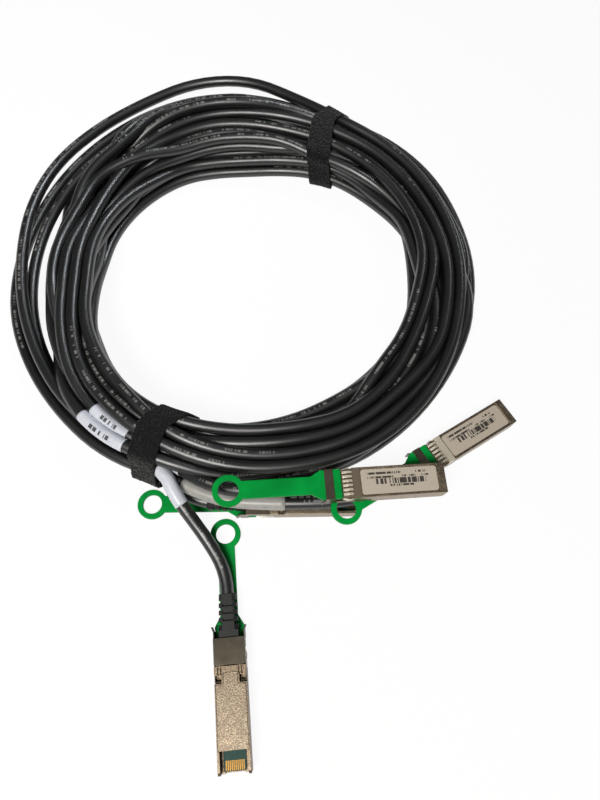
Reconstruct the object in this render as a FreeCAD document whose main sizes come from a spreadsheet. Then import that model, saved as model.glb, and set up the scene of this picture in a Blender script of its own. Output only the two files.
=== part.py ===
import FreeCAD, Part
import Sketcher
import math
import os
import re

# A coiled breakout cable: one wide plug feeds four round cables, each with a small plug of its own.
# Every plug lies in its own frame first: x from its rear end towards its nose, z from its flat bottom up.
# The part's frame has its origin on the table at the centre of the coil, +Z up.

Vec = FreeCAD.Vector
doc = FreeCAD.newDocument("BreakoutCable")
sheet = doc.addObject("Spreadsheet::Sheet", "Sizes")

SHARED = {
    "cable_dia": 6.0,           # round cable over its jacket
    "cable_sides": 10,          # flats round a cable, which keep its facets few
    "sheet_thk": 0.4,           # folded sheet steel of the release slider
    "slide_gap": 0.35,          # room round the release slider
    "tab_thk": 1.6,             # moulded pull tab
    "travel": 1.5,              # how far a pull tab comes back
    "bridge_len": 3.9,          # the slider's band over the tab
    "plate_start": 3.0,         # the slider's bottom plate, and the rear end of the housing
    "arm_low": 1.2,             # the slider's side arms
    "arm_high": 3.2,
    "plate_past": 1.3,          # how far the bottom plate runs past the spring collar's rear edge
    "arm_past": 8.0,            # and how far the arms run past it
    "tip_reach": 2.6,           # the inward bend at the end of an arm
    "ear_len": 1.6,             # flared ears at the slider's rear
    "ear_flare": 0.8,
    "ear_low": 1.2,
    "ear_high": 5.6,
    "collar_thk": 0.25,         # sheet of the spring collar
    "collar_low": 4.0,
    "finger_len": 4.5,
    "finger_wide": 1.1,
    "finger_pitch": 1.95,
    "finger_bulge": 0.35,
    "finger_recess": 1.0,
    "label_recess": 0.3,
    "label_thk": 0.1,
    "label_edge": 0.5,          # bare rim round the label inside its recess
    "label_corner": 0.8,
    "rim": 0.7,
    "cover_thk": 1.4,
    "cover_wall": 0.5,          # side wall beside the cover
    "cover_fit": 0.05,
    "tongue_len": 4.6,
    "tongue_wide": 6.0,
    "card_top": 4.75,
    "card_thk": 1.0,
    "card_side": 0.2,           # room beside the board
    "card_ledge": 0.6,          # width of the ledge that the board lies on
    "card_back": 0.9,           # the board's edge behind the nose
    "card_end_gap": 0.3,
    "top_wall": 1.4,
    "pad_len": 3.6,
    "pad_wide": 0.5,
    "pad_thk": 0.05,
    "pad_pitch": 0.8,
    "fin_deep": 0.8,
    "fin_gap": 0.6,
    "fin_pitch": 1.25,
    "fin_first": 3.5,
    "nose_chamfer": 1.2,
    "ring_dia": 14.0,
    "ring_hole": 9.0,
    "tab_side": 0.2,            # room beside the tab under the band
    "tab_flare": 6.2,           # length of the tab's wide foot behind the band
    "boot_taper": 0.6,
    "boot_edge": 1.6,
    "slot_count": 4,
    "slot_wide": 1.1,
    "slot_deep": 1.7,
    "slot_pitch": 3.0,
    "slot_first": 2.2,
    "mid_slot_wide": 4.4,       # slots across the boot's flat sides
    "mid_slot_deep": 1.0,
    "coil_dia": 252.0,          # outside of the wound bundle
    "coil_hole": 163.4,
    "coil_high": 20.0,
    "coil_edge": 5.0,           # slope of the bundle's shoulders
    "hole_x": 7.7,              # the hole sits off centre: the turns fan out at the back left
    "hole_y": -13.8,
    "tie_wide": 13.0,
    "tie_thk": 1.6,
    "tie_gap": 0.4,
    "tie_round": 5.0,
    "nest_gap": 0.7,            # room round a plug that lies in the bundle
    "floor_gap": 0.05,          # what rests on the table stands this far clear of it
    "tail_pitch": 6.2,
}

SMALL = {
    "len": 54.4, "width": 13.55, "height": 8.5, "nose": 3.2, "neck_len": 7.6, "collar_x": 12.4,
    "collar_len": 3.3, "neck_top": 6.15, "cavity": 22.0, "cover_start": 21.2, "cover_end": 45.6,
    "card_wide": 9.2, "cable_z": 3.2, "bore": 5.0, "strip": 7.8, "reach": 42.0, "boot_len": 15.0,
    "boot_wide": 8.6, "boot_high": 6.0, "pads": 10, "fingers": 6, "mouth_wall": 1.1,
}

WIDE = {
    "len": 66.0, "width": 18.35, "height": 8.5, "nose": 4.0, "neck_len": 12.6, "collar_x": 17.4,
    "collar_len": 3.3, "neck_top": 13.0, "cavity": 28.0, "cover_start": 26.2, "cover_end": 56.0,
    "card_wide": 16.4, "cable_z": 6.8, "bore": 5.0, "strip": 10.0, "reach": 34.0, "boot_len": 15.0,
    "boot_wide": 13.4, "boot_high": 12.4, "pads": 19, "fingers": 8, "mouth_wall": 0.6,
}

# Where each plug lies on the table: x and y, then yaw, pitch and roll in degrees. They place its rear end,
# or its tab's ring where hung is 1. The lead is the straight cable behind its boot.
PLACES = {
    "a": {"x": -4.1, "y": -145.3, "hung": 1, "yaw": -84.8, "pitch": 0.0, "roll": 180.0, "lead": 9.5},
    "b": {"x": 40.8, "y": -128.1, "hung": 0, "yaw": 4.8, "pitch": 5.0, "roll": 0.0, "lead": 12.5},
    "c": {"x": 86.2, "y": -115.0, "hung": 0, "yaw": 31.8, "pitch": 6.0, "roll": 0.0, "lead": 13.0},
    "d": {"x": 2.6, "y": -130.8, "hung": 0, "yaw": 0.8, "pitch": 0.0, "roll": 180.0, "lead": 7.0},
    "wide": {"x": -52.3, "y": 87.0, "hung": 0, "yaw": 12.0, "pitch": 0.0, "roll": 180.0, "lead": 7.0},
}

# The ways from the coil's centre in which its two ties lie across the turns, in degrees.
TIES = {"low_tie": {"yaw": 248.0}, "high_tie": {"yaw": 56.0}}

# The legs' routes after their straight leads, to the wound bundle.
ROUTES = {
    "a": [(-12.0, -148.0, 8.3), (-25.5, -131.5, 16.8), (-32.4, -117.5, 19.5)],
    "b": [(-8.0, -128.5, 21.5), (-31.2, -111.9, 14.8)],
    "c": [(45.0, -133.0, 12.4), (2.0, -132.9, 12.4), (-14.0, -128.5, 12.0), (-29.5, -119.5, 11.0)],
    "d": [(-29.0, -127.0, 5.7), (-36.5, -119.2, 5.7)],
}


def fill_sheet():
    rows = dict(SHARED)
    for kind, sizes in (("small", SMALL), ("wide", WIDE)):
        rows.update({kind + "_" + name: number for name, number in sizes.items()})
    for plug, place in PLACES.items():
        rows.update({"plug_" + plug + "_" + name: number for name, number in place.items()})
    for tie_name, place in TIES.items():
        rows.update({tie_name + "_" + name: number for name, number in place.items()})
    for row, (name, number) in enumerate(rows.items(), 1):
        sheet.set("A%d" % row, name)
        sheet.set("B%d" % row, str(number))
        sheet.setAlias("B%d" % row, name)
    doc.recompute()


def size(name):
    return float(sheet.get(name))


def bound(text, kind=""):
    # A formula over the sheet's names, where @ stands for the kind of plug.
    return re.sub(r"[a-z]\w*", r"Sizes.\g<0>", text.replace("@", kind + "_"))


def new_body(name):
    return doc.addObject("PartDesign::Body", name)


def sketch(body, role, loops, kind="", offset=None):
    # Closed polygons and circles on one of the body's own planes, every corner tied to the sheet.
    drawing = body.newObject("Sketcher::SketchObject", body.Name + "Sketch")
    plane = [item for item in body.Origin.OriginFeatures if item.Role == role][0]
    drawing.AttachmentSupport = [(plane, "")]
    drawing.MapMode = "FlatFace"
    if offset:
        drawing.setExpression("AttachmentOffset.Base.z", bound(offset, kind))

    def tie(constraint, text):
        index = drawing.addConstraint(constraint)
        drawing.setExpression("Constraints[%d]" % index, bound(text, kind))

    for loop in loops:
        first = drawing.GeometryCount
        if len(loop) == 3 and isinstance(loop[0], str):
            drawing.addGeometry(Part.Circle(Vec(0, 0, 0), Vec(0, 0, 1), 1.0), False)
            tie(Sketcher.Constraint("Radius", first, 1.0), loop[2])
            tie(Sketcher.Constraint("DistanceX", -1, 1, first, 3, 1.0), loop[0])
            tie(Sketcher.Constraint("DistanceY", -1, 1, first, 3, 1.0), loop[1])
            continue
        count = len(loop)
        angles = [2 * math.pi * i / count for i in range(count)]
        ring = [Vec(math.cos(angle), math.sin(angle), 0) for angle in angles]
        for i in range(count):
            drawing.addGeometry(Part.LineSegment(ring[i], ring[(i + 1) % count]), False)
        for i in range(count):
            drawing.addConstraint(Sketcher.Constraint("Coincident", first + i, 2, first + (i + 1) % count, 1))
        for i, (across, up) in enumerate(loop):
            tie(Sketcher.Constraint("DistanceX", -1, 1, first + i, 1, 1.0), across)
            tie(Sketcher.Constraint("DistanceY", -1, 1, first + i, 1, 1.0), up)
    return drawing


def feature(body, sort, drawing, length=None, kind="", middle=False):
    # A pad runs along its sketch's normal and a pocket against it, or both ways from the middle.
    item = body.newObject("PartDesign::" + sort, body.Name + sort)
    item.Profile = drawing
    if length:
        item.setExpression("Length", bound(length, kind))
    else:
        item.Type = "ThroughAll"
    item.Midplane = middle
    body.Tip = item
    return item


def dressed(body, sort, amount, chosen):
    # Fillet or chamfer the edges of the body's present shape that the test picks out.
    doc.recompute()
    base = body.Tip
    names = ["Edge%d" % (i + 1) for i, edge in enumerate(base.Shape.Edges) if chosen(edge)]
    item = body.newObject("PartDesign::" + sort, body.Name + sort)
    item.Base = (base, names)
    item.setExpression("Radius" if sort == "Fillet" else "Size", bound(amount))
    body.Tip = item


def runs_along(edge, axis, least):
    way = edge.Vertexes[-1].Point - edge.Vertexes[0].Point
    return way.Length > least and abs(way.normalize().dot(axis)) > 0.98


def rect(x0, x1, y0, y1):
    return [(x0, y0), (x1, y0), (x1, y1), (x0, y1)]


def both_sides(x0, x1, y0, y1):
    return [rect(x0, x1, y0, y1), rect(x0, x1, "-(%s)" % y1, "-(%s)" % y0)]


def shell(kind):
    # Die-cast upper housing: neck, spring collar seat, label recess, nose, and the board's open channel.
    body = new_body(kind + "Shell")
    plate_end = "@collar_x + plate_past + slide_gap"
    side = [
        ("plate_start", "sheet_thk + slide_gap"), (plate_end, "sheet_thk + slide_gap"), (plate_end, "0"),
        ("@len - nose_chamfer", "0"), ("@len", "nose_chamfer"), ("@len", "@height"),
        ("@collar_x + @collar_len", "@height"), ("@collar_x + @collar_len", "@height - collar_thk"),
        ("@collar_x", "@height - collar_thk"), ("@collar_x", "@height - finger_recess"),
        ("@neck_len", "@height - finger_recess"), ("@neck_len", "@neck_top"), ("plate_start", "@neck_top"),
    ]
    feature(body, "Pad", sketch(body, "XZ_Plane", [side], kind), "@width", kind, middle=True)

    neck_half = "@width / 2 - sheet_thk - slide_gap"
    past = "@width"
    neck = sketch(body, "XY_Plane", both_sides("-1", "@collar_x", neck_half, past), kind)
    feature(body, "Pocket", neck, middle=True)

    seat = both_sides("@collar_x", "@collar_x + @collar_len", "@width / 2 - collar_thk", past)
    drawing = sketch(body, "XY_Plane", seat, kind, "@height + 1")
    feature(body, "Pocket", drawing, "@height + 1 - collar_low", kind)

    arm_end = "@collar_x + arm_past"
    for low, end in (("-1", plate_end), ("arm_low - slide_gap", arm_end + " + slide_gap")):
        groove = rect(neck_half, past, low, "arm_high + slide_gap")
        grooves = [groove, [("-(%s)" % y, z) for y, z in groove]]
        drawing = sketch(body, "YZ_Plane", grooves, kind, end)
        feature(body, "Pocket", drawing, "arm_past + slide_gap + 1", kind)

    tips = both_sides(arm_end + " - travel - 2 * slide_gap - sheet_thk", arm_end + " + slide_gap",
                      "@width / 2 - tip_reach - slide_gap", past)
    drawing = sketch(body, "XY_Plane", tips, kind, "arm_high + slide_gap")
    feature(body, "Pocket", drawing, "arm_high + slide_gap + 1", kind)

    drawing = sketch(body, "XY_Plane", [cover_outline("cover_fit")], kind, "cover_thk")
    feature(body, "Pocket", drawing, "cover_thk + 1", kind)

    channel = rect("@cavity", "@len + 1", "-(@card_wide / 2 + card_side)", "@card_wide / 2 + card_side")
    feature(body, "Pocket", sketch(body, "XY_Plane", [channel], kind, "card_top"), "card_top + 1", kind)
    mouth = rect("@cover_end", "@len + 1", "-(@width / 2 - @mouth_wall)", "@width / 2 - @mouth_wall")
    feature(body, "Pocket", sketch(body, "XY_Plane", [mouth], kind, "card_top"), "card_top + 1", kind)
    upper = rect("@cavity", "@len + 1", "-(@card_wide / 2 - card_ledge)", "@card_wide / 2 - card_ledge")
    drawing = sketch(body, "XY_Plane", [upper], kind, "@height - top_wall")
    feature(body, "Pocket", drawing, "@height - top_wall + 1", kind)

    recess = rect("@collar_x + @collar_len", "@len - @nose", "-(@width / 2 - rim)", "@width / 2 - rim")
    feature(body, "Pocket", sketch(body, "XY_Plane", [recess], kind, "@height + 1"), "label_recess + 1", kind)

    fins = []
    for i in range(2):
        near = "fin_first + %d * fin_pitch" % i
        fins += both_sides(plate_end + " + slide_gap", arm_end + " - travel - 3 * slide_gap - sheet_thk",
                           near, near + " + fin_gap")
    feature(body, "Pocket", sketch(body, "XY_Plane", fins, kind, "fin_deep"), "fin_deep + 1", kind)

    half = "@bore / 2"
    passage = rect("-(%s)" % half, half, "@cable_z - " + half, "@cable_z + " + half)
    feature(body, "Pocket", sketch(body, "YZ_Plane", [passage], kind, "@cavity + 1"), "@cavity + 2", kind)
    return body


def cover_outline(extra):
    back = "@cover_start - tongue_len - " + extra
    half = "@width / 2 - cover_wall + " + extra
    tongue = "tongue_wide / 2 + " + extra
    step = "@cover_start - " + extra
    front = "@cover_end + " + extra
    return [
        (back, "-(%s)" % tongue), (step, "-(%s)" % tongue), (step, "-(%s)" % half), (front, "-(%s)" % half),
        (front, half), (step, half), (step, tongue), (back, tongue),
    ]


def cover(kind):
    body = new_body(kind + "Cover")
    feature(body, "Pad", sketch(body, "XY_Plane", [cover_outline("0")], kind), "cover_thk", kind)
    return body


def board(kind):
    body = new_body(kind + "Board")
    outline = rect("@cavity + card_end_gap", "@len - card_back", "-(@card_wide / 2)", "@card_wide / 2")
    feature(body, "Pad", sketch(body, "XY_Plane", [outline], kind, "card_top - card_thk"), "card_thk", kind)
    return body


def contacts(kind):
    # Gold pads along the board's front edge, on both faces.
    pads = []
    for level in ("card_top", "card_top - card_thk - pad_thk"):
        for i in range(int(size(kind + "_pads"))):
            pad = doc.addObject("Part::Box", kind + "Pad")
            pad.setExpression("Length", bound("pad_len"))
            pad.setExpression("Width", bound("pad_wide"))
            pad.setExpression("Height", bound("pad_thk"))
            pad.setExpression("Placement.Base.x", bound("@len - card_back - card_end_gap - pad_len", kind))
            centre = "(%d - (@pads - 1) / 2) * pad_pitch - pad_wide / 2" % i
            pad.setExpression("Placement.Base.y", bound(centre, kind))
            pad.setExpression("Placement.Base.z", bound(level))
            pads.append(pad)
    group = doc.addObject("Part::Compound", kind + "Contacts")
    group.Links = pads
    return group


def collar(kind):
    # Spring collar: a sheet hoop over the housing, with bowed fingers that point to the rear.
    body = new_body(kind + "Collar")
    half, inner = "@width / 2", "@width / 2 - collar_thk"
    roof = "@height - collar_thk"
    hoop = [
        ("-(%s)" % half, "collar_low"), ("-(%s)" % inner, "collar_low"), ("-(%s)" % inner, roof),
        (inner, roof), (inner, "collar_low"), (half, "collar_low"), (half, "@height"),
        ("-(%s)" % half, "@height"),
    ]
    feature(body, "Pad", sketch(body, "YZ_Plane", [hoop], kind, "@collar_x"), "@collar_len", kind)

    def finger(face):
        root = "@collar_x + collar_thk"
        bow = "@collar_x - 0.45 * finger_len"
        end = "@collar_x - finger_len"
        return [
            (root, face + " - collar_thk"), (root, face), (bow, face + " + finger_bulge"),
            (end, face + " - finger_bulge"), (end, face + " - finger_bulge - collar_thk"),
            (bow, face + " + finger_bulge - collar_thk"),
        ]

    for i in range(int(size(kind + "_fingers"))):
        place = "(%d - (@fingers - 1) / 2) * finger_pitch" % i
        drawing = sketch(body, "XZ_Plane", [finger("@height")], kind, place)
        feature(body, "Pad", drawing, "finger_wide", kind, middle=True)
    flank = finger(half)
    flanks = [flank, [(x, "-(%s)" % y) for x, y in flank]]
    for i in range(2):
        place = "collar_low + finger_wide / 2 + %d * finger_pitch" % i
        drawing = sketch(body, "XY_Plane", flanks, kind, place)
        feature(body, "Pad", drawing, "finger_wide", kind, middle=True)
    return body


def slider(kind):
    # Release slider folded from sheet: bottom plate, side walls, band over the tab, arms, ears.
    body = new_body(kind + "Slider")
    top = "@neck_top + slide_gap + tab_thk + sheet_thk"
    half, inner = "@width / 2", "@width / 2 - sheet_thk"
    plate_end = "@collar_x + plate_past"
    hoop = [
        rect("-(%s)" % half, half, "0", top),
        rect("-(%s)" % inner, inner, "sheet_thk", top + " - sheet_thk"),
    ]
    feature(body, "Pad", sketch(body, "YZ_Plane", hoop, kind), plate_end, kind)
    above = rect("bridge_len", "@len", "arm_high", "2 * @neck_top + 2 * @height")
    feature(body, "Pocket", sketch(body, "XZ_Plane", [above], kind), middle=True)
    below = rect("-1", "plate_start", "-1", "arm_low")
    feature(body, "Pocket", sketch(body, "XZ_Plane", [below], kind), middle=True)

    arm = [(inner, "arm_low"), (half, "arm_low"), (half, "arm_high"), (inner, "arm_high")]
    arms = [arm, [("-(%s)" % y, z) for y, z in arm]]
    drawing = sketch(body, "YZ_Plane", arms, kind, plate_end + " - sheet_thk")
    feature(body, "Pad", drawing, "arm_past - plate_past + sheet_thk", kind)
    arm_end = "@collar_x + arm_past"
    tips = both_sides(arm_end + " - sheet_thk", arm_end, "@width / 2 - tip_reach", half)
    feature(body, "Pad", sketch(body, "XY_Plane", tips, kind, "arm_low"), "arm_high - arm_low", kind)
    ear = [
        ("sheet_thk", inner), ("sheet_thk", half), ("-ear_len", half + " + ear_flare"),
        ("-ear_len - sheet_thk / 2", half + " + ear_flare - sheet_thk"),
    ]
    ears = [ear, [(x, "-(%s)" % y) for x, y in ear]]
    feature(body, "Pad", sketch(body, "XY_Plane", ears, kind, "ear_low"), "ear_high - ear_low", kind)
    return body


def pull_tab(kind):
    # Moulded tab: a foot held by the slider's band, a strip, and a finger ring.
    body = new_body(kind + "Tab")
    low = "@neck_top + slide_gap"
    head = "@width / 2 - sheet_thk / 2"
    under = "@width / 2 - sheet_thk - tab_side"
    strip = "@strip / 2"
    front = "@neck_len - slide_gap"
    half_outline = [
        (front, head), ("bridge_len + tab_side", head), ("bridge_len + tab_side", under),
        ("-tab_side", under), ("-tab_side", head), ("-tab_flare / 4", head), ("-tab_flare", strip),
        ("-@reach", strip),
    ]
    outline = half_outline + [(x, "-(%s)" % y) for x, y in reversed(half_outline)]
    feature(body, "Pad", sketch(body, "XY_Plane", [outline], kind, low), "tab_thk", kind)
    disc = sketch(body, "XY_Plane", [("-@reach", "0", "ring_dia / 2")], kind, low)
    feature(body, "Pad", disc, "tab_thk", kind)
    lip = rect("bridge_len + tab_side", front, "-(%s)" % head, head)
    feature(body, "Pad", sketch(body, "XY_Plane", [lip], kind, low), "tab_thk + sheet_thk / 2", kind)
    hole = sketch(body, "XY_Plane", [("-@reach", "0", "ring_hole / 2")], kind)
    feature(body, "Pocket", hole, middle=True)
    return body


def boot(kind):
    # Moulded strain relief with rows of slots. Its block inside the slider sits on the neck's rear face.
    body = new_body(kind + "Boot")
    half = "@boot_wide / 2"
    outline = [
        ("0", "-(%s)" % half), ("0", half), ("-@boot_len", half + " - boot_taper"),
        ("-@boot_len", "-(%s - boot_taper)" % half),
    ]
    drawing = sketch(body, "XY_Plane", [outline], kind, "@cable_z - @boot_high / 2")
    feature(body, "Pad", drawing, "@boot_high", kind)
    length = size(kind + "_boot_len")
    dressed(body, "Chamfer", "boot_edge", lambda edge: runs_along(edge, Vec(1, 0, 0), length * 0.9))
    slots = []
    for i in range(int(size("slot_count"))):
        front = "-(slot_first + %d * slot_pitch)" % i
        slots += both_sides(front + " - slot_wide", front, half + " - slot_deep", half + " + 1")
    feature(body, "Pocket", sketch(body, "XY_Plane", slots, kind), middle=True)
    for side in ("", "-"):
        level = "@cable_z %s @boot_high / 2" % (side or "+")
        slots = []
        for i in range(int(size("slot_count")) - 1):
            front = "-(slot_first + slot_pitch / 2 + %d * slot_pitch)" % i
            slots.append(rect(front + " - slot_wide", front, "-mid_slot_wide / 2", "mid_slot_wide / 2"))
        drawing = sketch(body, "XY_Plane", slots, kind, level)
        feature(body, "Pocket", drawing, "2 * mid_slot_deep", kind, middle=True)
    low = "sheet_thk + slide_gap"
    plug_in = sketch(body, "XY_Plane", [rect("0", "plate_start", "-(%s)" % half, half)], kind, low)
    feature(body, "Pad", plug_in, "2 * (@cable_z - %s)" % low.replace("+", "-"), kind)
    return body


def label(kind):
    body = new_body(kind + "Label")
    half = "@width / 2 - rim - label_edge"
    outline = rect("@collar_x + @collar_len + label_edge", "@len - @nose - label_edge", "-(%s)" % half, half)
    drawing = sketch(body, "XY_Plane", [outline], kind, "@height - label_recess")
    feature(body, "Pad", drawing, "label_thk", kind)
    dressed(body, "Chamfer", "label_corner", lambda edge: runs_along(edge, Vec(0, 0, 1), 0))
    return body


def tab_top(kind):
    return size(kind + "_neck_top") + size("slide_gap") + size("tab_thk")


def plug_height(plug):
    # How high each plug's own origin is: two lie on their backs, one leans on its nose, one leans on its tab.
    lift = size("floor_gap")
    if plug == "wide":
        return tab_top("wide") + size("sheet_thk") + lift
    lean = math.radians(size("plug_c_pitch"))
    nose_down = size("small_len") * math.sin(lean) + lift
    if plug == "c":
        return nose_down
    if plug == "b":
        tab_end = size("small_reach") + size("ring_dia") / 2
        drop = size("ring_dia") / 2 * math.sin(math.radians(size("plug_b_pitch")))
        under = tab_top("small") * math.cos(lean) + tab_end * math.sin(lean)
        return nose_down + under + drop + size("slide_gap")
    return size("small_height") + size("finger_bulge") + lift


def plug_place(plug):
    part = {name: size("plug_" + plug + "_" + name) for name in PLACES[plug]}
    turn = FreeCAD.Rotation(part["yaw"], part["pitch"], part["roll"])
    rear = turn.multVec(Vec(part["hung"] * size("small_reach"), 0, 0))
    return FreeCAD.Placement(rear + Vec(part["x"], part["y"], plug_height(plug)), turn)


def place_plug(plug, pieces):
    # One placed copy of each piece of a plug.
    copies = []
    for name, piece in pieces.items():
        copy = doc.addObject("App::Link", "plug_%s_%s" % (plug, name))
        copy.LinkedObject = piece
        copy.Placement = plug_place(plug)
        copy.Label = "plug_%s_%s" % (plug, name)
        copies.append(copy)
    return copies


def cord_path(points):
    # Straight runs joined by tangent arcs, each arc as large as its two runs allow.
    edges = []
    radii = []
    start = points[0]
    for before, corner, after in zip(points, points[1:], points[2:]):
        back = before - corner
        ahead = after - corner
        reach = 0.45 * min(back.Length, ahead.Length)
        half_turn = (math.pi - back.getAngle(ahead)) / 2
        radius = reach / math.tan(half_turn)
        back.normalize()
        ahead.normalize()
        first = corner + back * reach
        last = corner + ahead * reach
        inward = (back + ahead).normalize()
        middle = corner + inward * (radius / math.cos(half_turn) - radius)
        edges.append(Part.LineSegment(start, first).toShape())
        edges.append(Part.Arc(first, middle, last).toShape())
        radii.append(radius)
        start = last
    edges.append(Part.LineSegment(start, points[-1]).toShape())
    return Part.Wire(edges), radii


def cord_ring(centre, way):
    # A cable's cross-section: a polygon with the round cable's area.
    sides = int(size("cable_sides"))
    step = 2 * math.pi / sides
    radius = size("cable_dia") / 2 * math.sqrt(step / math.sin(step))
    turn = FreeCAD.Rotation(Vec(0, 0, 1), way)
    corners = [Vec(radius * math.cos(i * step), radius * math.sin(i * step), 0) for i in range(sides)]
    return Part.makePolygon([centre + turn.multVec(corner) for corner in corners + corners[:1]])


def leg(plug):
    # The cable from a small plug's boot to the bundle.
    behind = size("small_boot_len")
    ends = (behind, behind + size("plug_%s_lead" % plug))
    points = [plug_place(plug).multVec(Vec(-x, 0, size("small_cable_z"))) for x in ends]
    points += [Vec(*point) for point in ROUTES[plug]]
    path, radii = cord_path(points)
    tube = path.makePipeShell([cord_ring(points[0], points[1] - points[0])], True, False)
    expected = math.pi * size("cable_dia") ** 2 / 4 * path.Length
    print("leg", plug, "length %.1f" % path.Length, "radii", ["%.1f" % r for r in radii],
          "volume share %.4f" % (tube.Volume / expected))
    item = doc.addObject("Part::Feature", "leg_" + plug)
    item.Shape = tube
    item.Label = "leg_" + plug
    return item


def tail(plug, across, up):
    # The same cable's other end, straight out of the wide plug's boot into the bundle.
    pitch = size("tail_pitch") / 2
    start = Vec(-size("wide_boot_len"), across * pitch, size("wide_cable_z") + up * pitch)
    lead = Vec(-size("plug_wide_lead"), 0, 0)
    item = doc.addObject("Part::Feature", "leg_%s_tail" % plug)
    item.Shape = Part.Face(cord_ring(start, lead)).extrude(lead)
    item.Placement = plug_place("wide")
    item.Label = "leg_%s_tail" % plug
    return item


def revolved(name, profile):
    body = new_body(name)
    item = body.newObject("PartDesign::Revolution", name + "Turn")
    item.Profile = sketch(body, "XZ_Plane", [profile])
    axis = [part for part in body.Origin.OriginFeatures if part.Role == "Z_Axis"][0]
    item.ReferenceAxis = (axis, [""])
    item.Angle = 360
    body.Tip = item
    return body


def tie_span(angle):
    # The bundle's inner and outer walls along one direction, the inner one at the nearer edge of a tie.
    way = Vec(math.cos(math.radians(angle)), math.sin(math.radians(angle)), 0)
    hole = Vec(size("hole_x"), size("hole_y"), 0)
    aside = hole.dot(Vec(-way.y, way.x, 0))
    half = size("tie_wide") / 2
    walls = [math.sqrt((size("coil_hole") / 2) ** 2 - (aside - edge) ** 2) for edge in (-half, half)]
    return hole.dot(way) + min(walls), size("coil_dia") / 2


def tie(name):
    # A hook-and-loop tie round the bundle: a flat closed band, standing across the turns.
    angle = size(name + "_yaw")
    near, far = tie_span(angle)
    thick, gap = size("tie_thk"), size("tie_gap")
    start, end = near - gap, far + gap
    body = new_body(name)
    inner = rect("%f" % start, "%f" % end, "tie_thk", "coil_high + tie_thk + tie_gap")
    outer = rect("%f" % (start - thick), "%f" % (end + thick), "0", "coil_high + 2 * tie_thk + tie_gap")
    feature(body, "Pad", sketch(body, "XZ_Plane", [outer, inner]), "tie_wide", middle=True)

    def corner(edge, height):
        return runs_along(edge, Vec(0, 1, 0), 0) and abs(edge.CenterOfMass.z - height) < 0.01

    inside_top = size("coil_high") + thick + gap
    dressed(body, "Fillet", "tie_round", lambda edge: corner(edge, inside_top + thick))
    dressed(body, "Fillet", "tie_round - tie_thk", lambda edge: corner(edge, inside_top))
    dressed(body, "Chamfer", "tie_thk", lambda edge: corner(edge, 0))
    body.Placement = FreeCAD.Placement(Vec(0, 0, 0), FreeCAD.Rotation(angle, 0, 0))
    body.Label = name
    return body


def turned_box(name, x0, x1, y0, y1, z0, z1, place):
    box = doc.addObject("Part::Box", name)
    box.Length, box.Width, box.Height = x1 - x0, y1 - y0, z1 - z0
    box.Placement = place.multiply(FreeCAD.Placement(Vec(x0, y0, z0), FreeCAD.Rotation()))
    return box


def coil():
    # The wound bundle's outer shape, with room under it for the wide plug and for the ties.
    radius = "coil_dia / 2"
    solid = revolved("Bundle", [
        ("0", "0"), (radius, "0"), (radius, "coil_high - coil_edge"), (radius + " - coil_edge", "coil_high"),
        ("0", "coil_high"),
    ])
    hole = revolved("BundleHole", [
        ("0", "-1"), ("coil_hole / 2", "-1"), ("coil_hole / 2", "coil_high - coil_edge"),
        ("coil_hole / 2 + coil_edge + 1", "coil_high + 1"), ("0", "coil_high + 1"),
    ])
    hole.setExpression("Placement.Base.x", bound("hole_x"))
    hole.setExpression("Placement.Base.y", bound("hole_y"))

    gap = size("nest_gap")
    ears = size("ear_flare") + gap
    small, wide = plug_place("d"), plug_place("wide")
    side, wide_side = size("small_width") / 2 + ears, size("wide_width") / 2 + ears
    top, wide_top = small.Base.z + 1, wide.Base.z + 1
    ring = size("ring_dia") / 2 + gap
    foot_end = -size("tab_flare") - size("travel") - gap
    boot_end = -size("wide_boot_len")
    tab_end = size("wide_reach") + ring + size("travel")
    tab_room = wide.Base.z - size("wide_neck_top") + gap
    tools = [
        hole,
        turned_box("Nest", foot_end, size("small_len") + gap, -side, side, -gap, top, small),
        turned_box("WideNest", boot_end, size("wide_len") + gap, -wide_side, wide_side, -gap, wide_top, wide),
        turned_box("TabNest", -tab_end, 0, -ring, ring, wide_top - 1 - tab_room, wide_top, wide),
    ]
    for tie_name in TIES:
        turn = FreeCAD.Placement(Vec(0, 0, 0), FreeCAD.Rotation(size(tie_name + "_yaw"), 0, 0))
        half = size("tie_wide") / 2 + size("tie_gap")
        far = size("coil_dia")
        tools.append(turned_box("TieRoom", 0, far, -half, half, -1, size("tie_thk") + size("tie_gap"), turn))
    cutters = doc.addObject("Part::MultiFuse", "BundleRoom")
    cutters.Shapes = tools
    item = doc.addObject("Part::Cut", "cable_coil")
    item.Base = solid
    item.Tool = cutters
    item.Label = "cable_coil"
    return item


def build():
    fill_sheet()
    makers = {
        "shell": shell, "bottom_cover": cover, "board": board, "contacts": contacts, "spring_collar": collar,
        "release_slider": slider, "pull_tab": pull_tab, "boot": boot, "label": label,
    }
    small = {name: make("small") for name, make in makers.items()}
    wide = {name: make("wide") for name, make in makers.items() if name != "label"}
    subparts = []
    for plug in ROUTES:
        subparts += place_plug(plug, small)
        subparts.append(leg(plug))
    subparts += place_plug("wide", wide)
    corners = ((-1, -1), (1, -1), (-1, 1), (1, 1))
    subparts += [tail(plug, across, up) for plug, (across, up) in zip(ROUTES, corners)]
    subparts.append(coil())
    subparts += [tie(name) for name in TIES]
    doc.recompute()
    return subparts


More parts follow.
